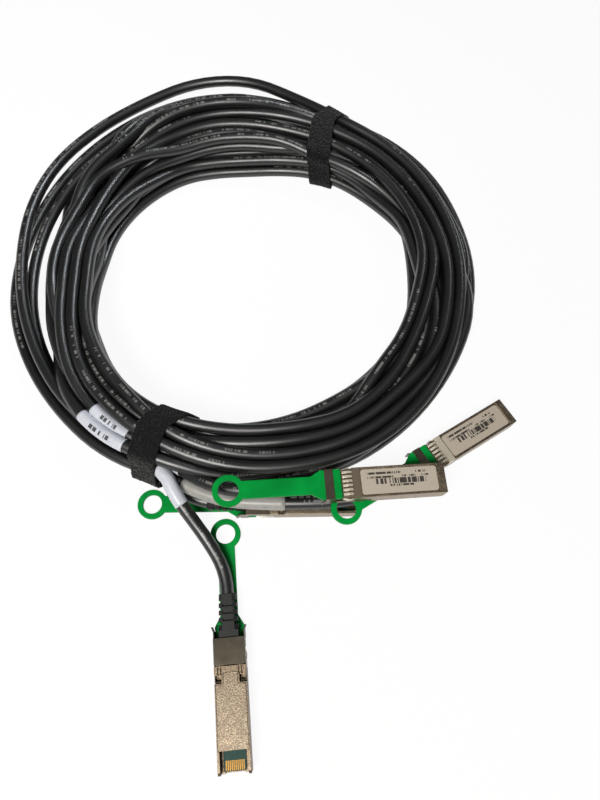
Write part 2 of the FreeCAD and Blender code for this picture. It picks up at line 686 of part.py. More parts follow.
def check_and_write(subparts):
    for item in doc.Objects:
        if "Invalid" in item.State or "Error" in item.State:
            raise RuntimeError("%s failed" % item.Name)
        if item.TypeId == "PartDesign::Pocket":
            if item.Shape.Volume > item.BaseFeature.Shape.Volume - 1e-6:
                raise RuntimeError("%s cuts nothing" % item.Name)
    shapes = {}
    for item in subparts:
        shape = Part.getShape(item)
        if shape.isNull() or not shape.isValid() or not shape.Solids:
            raise RuntimeError("%s has no valid solid" % item.Label)
        shapes[item.Label] = shape
    os.makedirs("parts", exist_ok=True)
    for name, shape in shapes.items():
        shape.exportStep("parts/%s.step" % name)
    print(len(shapes), "sub-parts written")


check_and_write(build())
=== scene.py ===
import bpy
import math
import numpy as np
from mathutils import Matrix, Vector


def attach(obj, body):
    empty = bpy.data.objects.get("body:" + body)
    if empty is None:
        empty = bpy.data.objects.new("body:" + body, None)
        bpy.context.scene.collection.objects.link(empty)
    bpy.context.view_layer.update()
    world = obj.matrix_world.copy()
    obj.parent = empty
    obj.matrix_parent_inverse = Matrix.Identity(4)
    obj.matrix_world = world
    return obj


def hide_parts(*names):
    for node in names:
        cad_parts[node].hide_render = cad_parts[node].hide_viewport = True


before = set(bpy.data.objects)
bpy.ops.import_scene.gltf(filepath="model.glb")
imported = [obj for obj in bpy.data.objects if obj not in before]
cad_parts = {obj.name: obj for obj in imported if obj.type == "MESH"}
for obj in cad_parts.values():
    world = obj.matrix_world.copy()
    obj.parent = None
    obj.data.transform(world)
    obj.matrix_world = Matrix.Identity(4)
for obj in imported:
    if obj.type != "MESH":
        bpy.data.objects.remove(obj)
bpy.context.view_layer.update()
bpy.ops.object.select_all(action="DESELECT")
print("frame loaded")

mm = 0.001


def clamp(value):
    return max(0.0, min(1.0, value))


def smooth(value):
    value = clamp(value)
    return value * value * (3 - 2 * value)


def addObject(name, data):
    made = bpy.data.objects.new(name, data)
    bpy.context.scene.collection.objects.link(made)
    return made


# Camera: high above the front of the coil, looking down on it

cameraSpec = dict(place=(0.0306, -0.1899, 0.287), tilt=21.4, lens=27.18, film=36.0, nearest=0.01)


def addCamera():
    data = bpy.data.cameras.new("camera")
    data.sensor_fit = "VERTICAL"
    data.sensor_height = cameraSpec["film"]
    data.lens = cameraSpec["lens"]
    data.clip_start = cameraSpec["nearest"]
    camera = addObject("camera", data)
    camera.location = cameraSpec["place"]
    camera.rotation_euler = (math.radians(cameraSpec["tilt"]), 0, 0)
    bpy.context.scene.camera = camera


addCamera()
print("camera set")


# Cords: each leg runs from its small plug through the lower tie, round the coil, to the wide plug's boot.
# Points are in millimetres.

cord = dict(diameter=6.0, length=3.0, order=3, smoothness=5, roundness=5, lineSmoothness=20)
cordHalf = cord["diameter"] / 2
legNames = "acbd"  # from the outside in

# the runs from the boots to the tie, as in the part's source but for leg d's, which bends wider here
runs = dict(
    a=[(-1.7, -172.2, 5.7), (-2.5, -162.7, 5.7), (-12, -148, 8.3), (-25.5, -131.5, 16.8)],
    b=[(26.2, -129.3, 24.4), (13.8, -130.4, 25.5), (-8, -128.5, 21.5)],
    c=[(73.8, -122.7, 10.5), (62.8, -129.5, 11.8), (45, -133, 12.4), (2, -132.9, 12.4), (-14, -128.5, 12)],
    d=[(-12.4, -131, 5.7), (-18, -130, 5.7), (-25.5, -126.5, 5.7)],
)

# the four ends side by side behind the wide plug's boot
tails = dict(
    a=[(-74.5, 85.5, 11.7), (-67.6, 86.9, 11.7)],
    b=[(-73.2, 79.4, 11.7), (-66.3, 80.8, 11.7)],
    c=[(-74.5, 85.5, 5.5), (-67.6, 86.9, 5.5)],
    d=[(-73.2, 79.4, 5.5), (-66.3, 80.8, 5.5)],
)

# the bundle: azimuth, inner radius, outer radius at mid height, top
bundle = [
    (0, 89, 125, 20), (15, 87, 123, 20), (30, 82, 122, 20), (45, 76, 121, 20), (60, 71, 117, 21),
    (70, 67, 116, 24), (80, 64, 120, 28), (90, 62.5, 121, 30), (105, 64, 122, 30), (120, 68, 122, 30),
    (135, 70, 121, 28), (150, 72, 114, 25.5), (165, 74, 106, 25.5), (180, 75, 106.3, 26), (195, 77, 107, 27),
    (210, 84, 109.5, 28), (225, 89.5, 118, 29), (240, 92.5, 125, 30), (255, 93.5, 125, 30), (270, 93, 125, 25),
    (300, 91, 126, 20), (330, 92, 126, 20), (345, 91, 126, 20), (360, 89, 125, 20),
]

# radius and height of each leg in the lower tie
tiePins = dict(a=(121.8, 19.2), b=(116.8, 15), c=(123.1, 11.2), d=(124, 5.2))

# azimuth, radius and height of the turns that show in the photograph, and of those kept in order
# over the wide plug. Each 360 lower is the next turn.
shown = dict(
    a=[(240, 117, 17.5), (225, 117.3, 15.5), (210, 115.9, 14.5), (195, 116, 14.5), (180, 117.7, 14),
       (165, 122.5, 13.5), (150, 126.8, 12), (135, 127.5, 11), (120, 129.1, 10), (105, 132.5, 11),
       (90, 128.3, 12.5), (75, 114.4, 14), (60, 106.5, 17), (45, 108, 16.5), (30, 110.3, 16), (15, 111.8, 16),
       (0, 114.6, 16), (-15, 116.6, 16),
       (-210, 83.5, 20.5), (-225, 86.4, 20.8), (-240, 87.6, 18.8), (-255, 88.3, 19.5), (-270, 86.5, 19.5),
       (-285, 86.3, 18), (-300, 88.6, 17), (-315, 89.8, 17), (-330, 92.5, 17), (-345, 94.6, 17),
       (-360, 96.2, 17),
       (-600, 80.1, 8.9), (-615, 76.5, 8.9), (-630, 75.2, 8.9), (-645, 78.4, 8.9),
       (-960, 76, 20.3), (-975, 75.6, 21.2), (-990, 74.8, 21.2), (-1005, 76.2, 20.4),
       (-1020, 76.4, 16), (-1035, 80.8, 16.7)],
    c=[(240, 124, 9), (225, 122.5, 6.5), (210, 122.7, 6), (195, 123.4, 6), (180, 122.2, 6), (165, 119.5, 8),
       (150, 119.4, 8), (135, 119.9, 8), (120, 121.1, 8), (105, 121.1, 8), (90, 118.1, 8), (75, 112, 9),
       (60, 111.5, 9.5), (45, 117.5, 7.5), (30, 121, 6), (15, 121, 6), (0, 122.5, 6), (-15, 123, 6),
       (-240, 74, 8.6), (-255, 70.4, 8.6), (-270, 69.1, 8.6), (-285, 72.3, 8.6),
       (-600, 84.9, 12.8), (-615, 81.4, 12.6), (-630, 80, 12.6),
       (-960, 98.2, 24.2), (-975, 98.9, 25.1), (-990, 97.7, 24.9), (-1005, 102.9, 17.3)],
    b=[(240, 114, 11.5), (225, 115.5, 9), (210, 115, 8), (195, 114.5, 7.5), (180, 113.1, 8.3),
       (165, 111.4, 10.5), (150, 108.3, 14.2), (135, 103.3, 17.8), (120, 102.5, 18.5), (105, 113.8, 8),
       (90, 112, 6.5),
       (-240, 71, 3.2), (-255, 67.4, 3.2), (-270, 66, 3.2), (-285, 69.2, 3.2),
       (-600, 81.7, 18), (-615, 82.3, 18.5), (-630, 80.4, 18.6), (-645, 81.4, 14.4),
       (-960, 104.4, 24.2), (-975, 102, 20), (-990, 100.7, 19), (-1005, 99.8, 11.6)],
    d=[(195, 102.1, 12), (180, 100.7, 12.5), (165, 99.1, 13), (150, 98.5, 13.5), (135, 92.5, 17),
       (120, 94, 19.5), (105, 96, 19.8), (90, 94.8, 19.8), (75, 96.3, 18), (60, 97.2, 17.5), (45, 100.1, 17),
       (30, 102, 17), (15, 104.3, 17), (0, 108.2, 17), (-15, 110.4, 16.5),
       (-240, 77.1, 3.2), (-255, 73.5, 3.2), (-270, 72.1, 3.2), (-285, 75.3, 3.2), (-480, 117.6, 5),
       (-600, 76.2, 14.2), (-615, 75.2, 15.1), (-630, 74.5, 15.1), (-645, 75.3, 14.4), (-660, 82.4, 15.6),
       (-960, 108.6, 19.2), (-975, 107.8, 19.1), (-990, 106.6, 19), (-1005, 106.2, 12.2)],
)

winding = dict(start=255, step=15, stations=105, pitch=6.1, drop=5.6, widen=1.0086,
               tied=(45, 60, 240, 255), tieLift=1.7)
# how far the heap leans inward as it rises from its pivot: everywhere, to the right and to the back
heapLean = dict(all=0.4, right=-0.11, back=0.69, pivot=8)
# the turns straighten by ease, which fades out, and give way by a share of what they overlap
settling = dict(rounds=600, ease=0.36, fade=1.5, leastEase=0.012, sink=0.05, clear=0.1, selfGap=99,
                passes=3, give=0.6, giveBetween=0.4, giveAside=0.5)
# the wide plug under the heap: turns within reach of its top climb over it, and deeper ones go round
widePlug = dict(x=-52.3, y=87.0, yaw=12.0, half=13.5, top=18.9, near=80, far=129, climb=9)


def azimuthOf(station):
    return winding["start"] - winding["step"] * station


# the room for the cords' middle lines: inner and outer radius, and top
def roomAt(azimuth):
    azimuths, *columns = zip(*bundle)
    inner, outer, top = (float(np.interp(azimuth % 360, azimuths, column)) for column in columns)
    return inner + cordHalf, outer - cordHalf, top - cordHalf


# below zero the heap leans outward
def leanAt(azimuth):
    p = math.radians(azimuth)
    return heapLean["all"] + heapLean["right"] * math.cos(p) + heapLean["back"] * math.sin(p)


# where a turn would lie in neat rows, each leg stepping inward by four places a turn
def neatPlace(place, azimuth):
    inner, outer, top = roomAt(azimuth)
    perRow = (outer - inner) / winding["pitch"] + 1
    row, along = divmod(place / perRow, 1)
    across = along if row % 2 == 0 else 1 - along
    return outer + (inner - outer) * across, max(cordHalf, top - winding["drop"] * row)


# the turns before they settle, which places are free to move, and the places in each slice across the bundle
def layTurns():
    perTurn = 360 // winding["step"]
    count = winding["stations"]
    shape = (len(legNames), count + 1)
    far, high, free = np.zeros(shape), np.zeros(shape), np.ones(shape, bool)
    slices = {}
    for j, leg in enumerate(legNames):
        for i in range(count):
            far[j, i + 1], high[j, i + 1] = neatPlace(j + len(legNames) * i / perTurn, azimuthOf(i))
            slices.setdefault(i % perTurn, []).append((j, i + 1))
        x, y, z = tails[leg][0]
        pins = {0: tiePins[leg], count - 1: (math.hypot(x, y), z)}
        pins.update({(winding["start"] - p) // winding["step"]: (r, z) for p, r, z in shown[leg]})
        for i, (r, z) in pins.items():
            far[j, i + 1], high[j, i + 1] = r, z
            free[j, i + 1] = False
        far[j, 0], high[j, 0] = 2 * far[j, 1] - far[j, 2], high[j, 1]
        free[j, 0] = False
    return far, high, free, slices


def straighten(lay, free, ease):
    middle = lay.copy()
    middle[:, 1:-1] = (lay[:, :-2] + lay[:, 2:]) / 2
    lay[free] += ease * (middle - lay)[free]


# how much each pair of turns in a slice overlaps, how far apart they are, and the way from one to the other
def overlaps(r, z):
    dr, dz = r[:, None] - r, z[:, None] - z
    gap = np.hypot(dr, dz) + np.eye(len(r)) * settling["selfGap"]
    return np.clip(cord["diameter"] + settling["clear"] - gap, 0, None), gap, dr, dz


# half way between two stations turns push one another apart too, so that they don't cross through there
def pushBetween(far, high, free, members):
    rows, cols = np.array([m for m in members if m[1] < winding["stations"]]).T
    r = (far[rows, cols] + far[rows, cols + 1]) / 2
    z = (high[rows, cols] + high[rows, cols + 1]) / 2
    over, gap, dr, dz = overlaps(r, z)
    push = over / gap * settling["giveBetween"]
    for end in (cols, cols + 1):
        far[rows, end] += np.where(free[rows, end], (push * dr).sum(1), 0)
        high[rows, end] += np.where(free[rows, end], (push * dz).sum(1), 0)


def clearOfWide(azimuth, r, z, moves):
    yaw = math.radians(widePlug["yaw"])
    offset = widePlug["y"] * math.cos(yaw) - widePlug["x"] * math.sin(yaw)
    aside = r - offset / math.sin(math.radians(azimuth) - yaw)
    inside = moves & (np.abs(aside) < widePlug["half"]) & (z < widePlug["top"])
    climbs = inside & (widePlug["top"] - z < widePlug["climb"])
    goesRound = inside & ~climbs
    z = np.where(climbs, z + (widePlug["top"] - z) * settling["give"], z)
    sideways = np.sign(aside) * (widePlug["half"] - np.abs(aside)) * settling["giveAside"]
    return np.where(goesRound, r + sideways, r), z


# turns push one another apart at a station, and stay within the bundle and off the wide plug
def settleAt(azimuth, r, z, moves):
    inner, outer, top = roomAt(azimuth)
    lean = leanAt(azimuth)
    floor = cordHalf + (winding["tieLift"] if azimuth in winding["tied"] else 0)
    for again in range(settling["passes"]):
        over, gap, dr, dz = overlaps(r, z)
        over = over * np.where(moves[:, None] & moves, 0.5, 1)  # two free turns share the way
        above = z - heapLean["pivot"]
        nextR = r + (over * dr / gap).sum(1) * settling["give"]
        nextZ = z + (over * dz / gap).sum(1) * settling["give"]
        r = np.where(moves, np.clip(nextR, inner - min(lean, 0) * above, outer - max(lean, 0) * above), r)
        z = np.where(moves, np.clip(nextZ, floor, top), z)
        if widePlug["near"] <= azimuth <= widePlug["far"]:
            r, z = clearOfWide(azimuth, r, z, moves)
    return r, z


# the turns settle: they straighten, sink and push one another apart
def windCoil():
    far, high, free, slices = layTurns()
    for turn in range(settling["rounds"]):
        ease = settling["ease"] * (1 - turn / settling["rounds"]) ** settling["fade"] + settling["leastEase"]
        for lay in (far, high):
            straighten(lay, free, ease)
        high[free] -= settling["sink"]
        for members in slices.values():
            pushBetween(far, high, free, members)
        for s, members in slices.items():
            rows, cols = np.array(members).T
            far[rows, cols], high[rows, cols] = settleAt(
                azimuthOf(s) % 360, far[rows, cols], high[rows, cols], free[rows, cols])
    return far, high


coilFar, coilHigh = windCoil()


def onCoil(radius, azimuth, height):
    p = math.radians(azimuth)
    return radius * math.cos(p), radius * math.sin(p), height


def legPoints(leg):
    j = legNames.index(leg)
    turns = [onCoil(coilFar[j, i + 1] * winding["widen"], azimuthOf(i), coilHigh[j, i + 1])
             for i in range(winding["stations"] - 1)]
    return runs[leg] + turns + tails[leg]


def addCord(leg):
    points = legPoints(leg)
    curve = bpy.data.curves.new("cable_" + leg, "CURVE")
    curve.dimensions = "3D"
    spline = curve.splines.new("NURBS")
    spline.points.add(len(points) - 1)
    for point, place in zip(spline.points, points):
        point.co = (*(v * mm for v in place), 1)
        point.radius = cordHalf * mm
    spline.order_u = cord["order"]
    spline.use_endpoint_u = True
    curve.resolution_u = cord["smoothness"]
    curve.bevel_depth = 1  # times each point's radius
    curve.bevel_resolution = cord["roundness"]
    curve.use_fill_caps = True
    piece = addObject("cable_" + leg, curve)
    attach(piece, "cable")
    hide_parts("leg_" + leg, "leg_" + leg + "_tail", *(["cable_coil"] if leg == "a" else []))
    return piece


cables = {leg: addCord(leg) for leg in legNames}


# a cord's middle line, read from its own spline
def middleLine(piece):
    curve = piece.data.copy()
    curve.bevel_depth = 0
    curve.resolution_u = cord["lineSmoothness"]
    bare = addObject("line", curve)
    mesh = bpy.data.meshes.new_from_object(bare.evaluated_get(bpy.context.evaluated_depsgraph_get()))
    line = np.array([v.co for v in mesh.vertices]) / mm
    bpy.data.objects.remove(bare)
    bpy.data.meshes.remove(mesh)
    bpy.data.curves.remove(curve)
    return line


lines = {leg: middleLine(piece) for leg, piece in cables.items()}
print("cords laid")


# Finishes

class Value:
    def __init__(self, finish, socket):
        self.finish, self.socket = finish, socket

    def maths(self, operation, first, second):
        return self.finish.node("Math", dict(operation=operation), {0: first, 1: second})

    def __add__(self, other):
        return self.maths("ADD", self, other)

    def __radd__(self, other):
        return self.maths("ADD", other, self)

    def __mul__(self, other):
        return self.maths("MULTIPLY", self, other)

    def __rmul__(self, other):
        return self.maths("MULTIPLY", other, self)

    def __gt__(self, other):
        return self.maths("GREATER_THAN", self, other)

    def __lt__(self, other):
        return self.maths("LESS_THAN", self, other)


class Finish:
    def __init__(self, name, **look):
        self.material = bpy.data.materials.new(name)
        self.material.use_nodes = True
        self.tree = self.material.node_tree
        self.shader = self.tree.nodes["Principled BSDF"]
        self.paint(**look)

    def set(self, made, sockets):
        for name, value in sockets.items():
            if isinstance(value, Value):
                self.tree.links.new(value.socket, made.inputs[name])
            else:
                made.inputs[name].default_value = value

    def node(self, kind, settings=None, sockets=None, out=0):
        made = self.tree.nodes.new("ShaderNode" + kind)
        for name, value in (settings or {}).items():
            setattr(made, name, value)
        self.set(made, sockets or {})
        return Value(self, made.outputs[out])

    def where(self, kind="Object"):
        return self.node("TexCoord", out=kind)

    def axes(self, spot):
        return [self.node("SeparateXYZ", None, {0: spot}, out=number) for number in range(2)]

    def stretch(self, spot, scales):
        return self.node("VectorMath", dict(operation="MULTIPLY"), {0: spot, 1: scales})

    def noise(self, scale, detail=3, spot=None):
        return self.node("TexNoise", None, {"Vector": spot or self.where(), "Scale": scale, "Detail": detail})

    def cloud(self, scale, detail=3, low=0.3, high=0.7):
        return self.band(self.noise(scale, detail), low, high)

    # fine lines left by drawing or rolling
    def drawnLines(self):
        return self.noise(scale=1, spot=self.stretch(self.where(), (5000, 5000, 260)))

    # printed strokes, one to each whole number, and the patches that break them up
    def strokes(self, value):
        whole = self.node("Math", dict(operation="FLOOR"), {0: value})
        return self.node("TexWhiteNoise", dict(noise_dimensions="1D"), {"W": whole})

    def patches(self, value, scale):
        return self.node("TexNoise", dict(noise_dimensions="1D"), {"W": value, "Scale": scale, "Detail": 0.0})

    def band(self, value, low, high):
        return self.node("MapRange", None, {"Value": value, "From Min": low, "From Max": high})

    def blend(self, first, second, share):
        return first * share + second * (1 - share)

    def vary(self, *values, least, spread):
        for value in values:
            least = least + spread * value
        return least

    def mix(self, share, first, second):
        return self.node("Mix", dict(data_type="RGBA"), {0: share, 6: first, 7: second}, out=2)

    def bump(self, height, strength, depth, edge=None):
        sockets = {"Height": height, "Strength": strength, "Distance": depth}
        if edge:
            sockets["Normal"] = self.node("Bevel", dict(samples=6), {"Radius": edge})
        return self.node("Bump", None, sockets)

    def paint(self, **sockets):
        self.set(self.shader, {word.replace("_", " "): value for word, value in sockets.items()})
        return self.material


def within(value, low, high):
    return (value > low) * (value < high)


def grey(level):
    return level, level, level, 1


# letters, words and blocks of the printed row: how many along the cord, and the level above which one shows
jacketLook = dict(dark=grey(0.003), light=grey(0.007), mark=(0.32, 0.32, 0.3, 1), faint=0.45,
                  row=(0.15, 0.215), letters=(5200, 0.5), words=(320.0, 0.4), blocks=(17.0, 0.57),
                  smearHeight=2)


# drawn cable jacket: fine grain, smears along it, a broken row of pale marks
def jacketFinish():
    f = Finish("cable_jacket", IOR=1.75)
    uv = f.where("UV")
    along, around = f.axes(uv)
    cloud = f.cloud(scale=45)
    grain = f.noise(scale=1800)
    smear = f.noise(scale=12, spot=f.stretch(uv, (40, 3, 1)))
    base = f.mix(f.blend(cloud, smear, share=0.6), jacketLook["dark"], jacketLook["light"])
    perCord, level = jacketLook["letters"]
    marks = within(around, *jacketLook["row"]) * (f.strokes(along * perCord) > level)
    for perCord, level in (jacketLook["words"], jacketLook["blocks"]):
        marks = marks * (f.patches(along, perCord) > level)
    return f.paint(Base_Color=f.mix(marks * jacketLook["faint"], base, jacketLook["mark"]),
                   Roughness=f.vary(grain, cloud, least=0.3, spread=0.08),
                   Normal=f.bump(grain + jacketLook["smearHeight"] * smear, strength=0.15, depth=0.0001))


tabLook = dict(deep=(0.0003, 0.19, 0.028, 1), bright=(0.0006, 0.33, 0.05, 1))


# moulded green plastic, faintly pebbled
def tabFinish():
    f = Finish("green_plastic", IOR=1.48, Specular_IOR_Level=0.08)
    pebble = f.noise(scale=2600, detail=2)
    shade = f.blend(f.cloud(scale=90), pebble, share=0.7)
    return f.paint(Base_Color=f.mix(shade, tabLook["deep"], tabLook["bright"]),
                   Roughness=f.vary(pebble, least=0.34, spread=0.2),
                   Normal=f.bump(pebble, strength=0.18, depth=0.0001, edge=0.0005))


castLooks = dict(
    cast_metal=dict(low=(0.22, 0.17, 0.115, 1), high=(0.46, 0.37, 0.27, 1), rough=0.36, pits=0.12),
    # the next look is cast_metal darkened for plug A's shell: painted shade
    shaded_cast_metal=dict(low=(0.1, 0.074, 0.05, 1), high=(0.24, 0.185, 0.13, 1), rough=0.36, pits=0.12),
    cover_metal=dict(low=(0.1, 0.08, 0.058, 1), high=(0.28, 0.222, 0.162, 1), rough=0.4, pits=0.3),
)


# plated die casting: warm, mottled, slightly pitted
def castFinish(name):
    look = castLooks[name]
    f = Finish(name, Metallic=1.0)
    mottle = f.cloud(scale=320, detail=4, low=0.32)
    speck = f.noise(scale=1700, detail=2)
    shade = f.blend(mottle, f.band(speck, low=0.38, high=0.62), share=0.25)
    pitted = f.vary(mottle, least=speck, spread=0.6)
    return f.paint(Base_Color=f.mix(shade, look["low"], look["high"]),
                   Roughness=f.vary(mottle, least=look["rough"], spread=0.16),
                   Normal=f.bump(pitted, strength=look["pits"], depth=0.00018, edge=0.0003))


sheetLooks = dict(
    slider_steel=dict(low=(0.12, 0.098, 0.07, 1), high=(0.22, 0.185, 0.135, 1)),
    # the next look is slider_steel darkened for plug A's slider: painted shade
    shaded_slider_steel=dict(low=(0.04, 0.034, 0.025, 1), high=(0.08, 0.07, 0.053, 1)),
)


# rolled sheet steel with fine drawn lines
def sheetFinish(name):
    look = sheetLooks[name]
    f = Finish(name, Metallic=1.0)
    drawn = f.drawnLines()
    shade = f.blend(f.cloud(scale=160), drawn, share=0.6)
    return f.paint(Base_Color=f.mix(shade, look["low"], look["high"]),
                   Roughness=f.vary(drawn, least=0.28, spread=0.16),
                   Normal=f.bump(drawn, strength=0.12, depth=0.00008, edge=0.00015))


bootLook = dict(dark=grey(0.003), light=grey(0.008))


# matt moulded rubber
def bootFinish():
    f = Finish("boot_rubber", IOR=1.48)
    grain = f.noise(scale=2200)
    return f.paint(Base_Color=f.mix(f.cloud(scale=120), bootLook["dark"], bootLook["light"]),
                   Roughness=f.vary(grain, least=0.5, spread=0.2),
                   Normal=f.bump(grain, strength=0.2, depth=0.0001, edge=0.0003))


boardLook = dict(deep=(0.0015, 0.02, 0.015, 1), bright=(0.003, 0.042, 0.03, 1), track=(0.008, 0.09, 0.06, 1),
                 trackScale=700.0, trackWidth=0.04, trackShow=0.5)


def boardFinish():
    f = Finish("circuit_board", IOR=1.5, Specular_IOR_Level=0.15)
    weave = f.noise(scale=1500, detail=2)
    tracks = f.node("TexBrick", None, {
        "Vector": f.where(), "Color1": grey(0), "Color2": grey(0), "Mortar": grey(1),
        "Scale": boardLook["trackScale"], "Mortar Size": boardLook["trackWidth"]})
    base = f.mix(weave, boardLook["deep"], boardLook["bright"])
    etched = f.node("SeparateColor", None, {0: tracks}) * boardLook["trackShow"]
    return f.paint(Base_Color=f.mix(etched, base, boardLook["track"]),
                   Roughness=f.vary(weave, least=0.32, spread=0.2),
                   Normal=f.bump(weave, strength=0.1, depth=0.00005))


goldLook = dict(worn=(0.13, 0.065, 0.014, 1), bright=(0.22, 0.125, 0.035, 1))


def goldFinish():
    f = Finish("gold_pads", Metallic=1.0)
    wear = f.noise(scale=900)
    return f.paint(Base_Color=f.mix(wear, goldLook["worn"], goldLook["bright"]),
                   Roughness=f.vary(wear, least=0.28, spread=0.2),
                   Normal=f.bump(wear, strength=0.1, depth=0.00005))


# where the small plugs lie, as in the part's source
plugPlaces = dict(
    a=dict(at=(-0.3, -187.1, 8.9), yaw=-84.8, pitch=0, roll=180),
    b=dict(at=(40.8, -128.1, 19.87), yaw=4.8, pitch=5, roll=0),
    c=dict(at=(86.2, -115.0, 5.74), yaw=31.8, pitch=6, roll=0),
    d=dict(at=(2.6, -130.8, 8.9), yaw=0.8, pitch=0, roll=180),
)


# a place in a plug's own frame, in millimetres
def inPlug(f, plug):
    place = plugPlaces[plug]
    yaw, pitch, roll = (Matrix.Rotation(math.radians(place[word]), 4, axis)
                        for word, axis in (("yaw", "Z"), ("pitch", "Y"), ("roll", "X")))
    return f.node("Mapping", dict(vector_type="TEXTURE"), {
        "Vector": f.where(), "Location": [v * mm for v in place["at"]],
        "Rotation": (yaw @ pitch @ roll).to_euler(), "Scale": (mm, mm, mm)})


collarLook = dict(low=(0.62, 0.54, 0.41, 1), high=(0.92, 0.85, 0.7, 1), brown=(0.16, 0.12, 0.08, 1),
                  # the hoop, past the hoop mark along the plug, turns towards brown by each plug's share on
                  # plugs b, a and d
                  hoop=12.2, hoopBrownShare=dict(b=0.9, a=0.5, d=0.5))


# satin plated spring sheet: bright fingers, a hoop that is browner on some plugs
def collarFinish(plug):
    f = Finish("spring_steel_" + plug, Metallic=0.5)
    drawn = f.drawnLines()
    base = f.mix(drawn, collarLook["low"], collarLook["high"])
    if plug in collarLook["hoopBrownShare"]:
        hoop = f.axes(inPlug(f, plug))[0] > collarLook["hoop"]
        base = f.mix(hoop * collarLook["hoopBrownShare"][plug], base, collarLook["brown"])
    return f.paint(Base_Color=base, Roughness=f.vary(drawn, least=0.24, spread=0.16),
                   Normal=f.bump(drawn, strength=0.12, depth=0.00008, edge=0.00015))


labelLook = dict(paper=(0.52, 0.455, 0.37, 1), shade=(0.43, 0.375, 0.30, 1), ink=(0.03, 0.026, 0.022, 1),
                 cover=0.96, rowShift=7)
# rows of marks on a plug's label, in its own millimetres:
# from and to along, middle across, height, step, and the level above which a stroke shows
labelRows = [
    (19.0, 34.5, 3.6, 1.0, 0.42, 0.25), (41.0, 45.6, 3.6, 1.0, 0.42, 0.3), (19.0, 30.8, 1.75, 0.9, 0.38, 0.25),
    (34.8, 41.0, 1.9, 0.8, 0.38, 0.3), (43.6, 46.8, 1.9, 0.8, 0.38, 0.3), (22.8, 45.6, -0.1, 2.5, 0.46, 0.34),
    (29.0, 39.7, -2.1, 0.9, 0.4, 0.25),
]


# printed paper label, laid out in the plug's own frame
def labelFinish(plug):
    f = Finish("plug_label_" + plug, IOR=1.45)
    along, across = f.axes(inPlug(f, plug))
    ink = 0.0
    for x0, x1, y, high, step, level in labelRows:
        stroke = f.strokes(along * (1 / step) + labelLook["rowShift"] * y)
        inside = within(along, x0, x1) * within(across, y - high / 2, y + high / 2)
        ink = inside * (stroke > level) + ink
    fibre = f.noise(scale=1400)
    paper = f.mix(fibre, labelLook["shade"], labelLook["paper"])
    return f.paint(Base_Color=f.mix(ink * labelLook["cover"], paper, labelLook["ink"]),
                   Roughness=f.vary(fibre, least=0.42, spread=0.2),
                   Normal=f.bump(fibre, strength=0.08, depth=0.00005))


strapLook = dict(dark=grey(0.0012), light=grey(0.009))


# brushed loops and hooks of a strap
def strapFinish():
    f = Finish("strap_fabric", Sheen_Weight=0.12, Sheen_Roughness=0.5, Specular_IOR_Level=0.15)
    loops = f.noise(scale=2600, detail=4)
    tuft = f.cloud(scale=700, low=0.35)
    return f.paint(Base_Color=f.mix(f.blend(loops, tuft, share=0.6), strapLook["dark"], strapLook["light"]),
                   Roughness=f.vary(loops, least=0.85, spread=0.12),
                   Normal=f.bump(loops + tuft, strength=0.9, depth=0.0006))


wrapLook = dict(unshaded=[(0.50, 0.52, 0.57, 1), (0.60, 0.62, 0.67, 1)],
                # the next pair is a greyer copy of the film colours, for the label lying in plug B's shadow:
                # painted shadow
                shaded=[(0.27, 0.26, 0.24, 1), (0.38, 0.37, 0.345, 1)],
                ink=(0.02, 0.02, 0.024, 1), cover=0.9, strokes=54, level=0.4,
                along=(0.27, 0.73), around=(0.52, 0.615))


# glossy film label round a cable, with a few dark bars
def wrapFinish(state):
    f = Finish("wrap_label_" + state, IOR=1.46)
    along, around = f.axes(f.where("UV"))
    bars = (f.strokes(along * wrapLook["strokes"]) > wrapLook["level"]) * within(along, *wrapLook["along"])
    bars = bars * within(around, *wrapLook["around"]) * wrapLook["cover"]
    crease = f.noise(scale=500)
    return f.paint(Base_Color=f.mix(bars, f.mix(crease, *wrapLook[state]), wrapLook["ink"]),
                   Roughness=f.vary(crease, least=0.26, spread=0.2),
                   Normal=f.bump(crease, strength=0.12, depth=0.0002))


finishes = dict(shell=castFinish("cast_metal"), bottom_cover=castFinish("cover_metal"),
                release_slider=sheetFinish("slider_steel"), pull_tab=tabFinish(), boot=bootFinish(),
                board=boardFinish(), contacts=goldFinish())
ownFinishes = dict(label=labelFinish, spring_collar=collarFinish)
# plug A's shell and slider take darker copies of their metals: painted shade
shadedFinishes = dict(plug_a_shell=castFinish("shaded_cast_metal"),
                    plug_a_release_slider=sheetFinish("shaded_slider_steel"))
jacket = jacketFinish()
strapFabric = strapFinish()
wrapFilms = {state: wrapFinish(state) for state in ("unshaded", "shaded")}


def finishOf(name):
    kind, which, *rest = name.split("_", 2)
    if kind != "plug":
        return strapFabric if which == "tie" else jacket
    return shadedFinishes.get(name) or finishes.get(rest[0]) or ownFinishes[rest[0]](which)


for name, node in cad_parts.items():
    node.material_slots[0].material = finishOf(name)
for piece in cables.values():
    piece.data.materials.append(jacket)
print("finishes made")


# a flat grid that each piece bends to its own shape: along from 0 to 1, across from -1 to 1
def addStrip(name, size, bend, finish):
    bpy.ops.object.select_all(action="DESELECT")
    bpy.ops.mesh.primitive_grid_add(
        x_subdivisions=size["alongCount"], y_subdivisions=size["acrossCount"], size=2)
    piece = bpy.context.object
    piece.name = name
    for v in piece.data.vertices:
        v.co = Vector(bend((v.co.x + 1) / 2, v.co.y)) * mm
    piece.data.materials.append(finish)
    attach(piece, "cable")
    body = piece.modifiers.new("body", "SOLIDIFY")
    body.thickness = size["thick"] * mm
    body.offset = 1
    return piece


def applyAll(piece):
    bpy.context.view_layer.objects.active = piece
    for modifier in list(piece.modifiers):
        bpy.ops.object.modifier_apply(modifier=modifier.name)
    bpy.ops.object.shade_smooth()


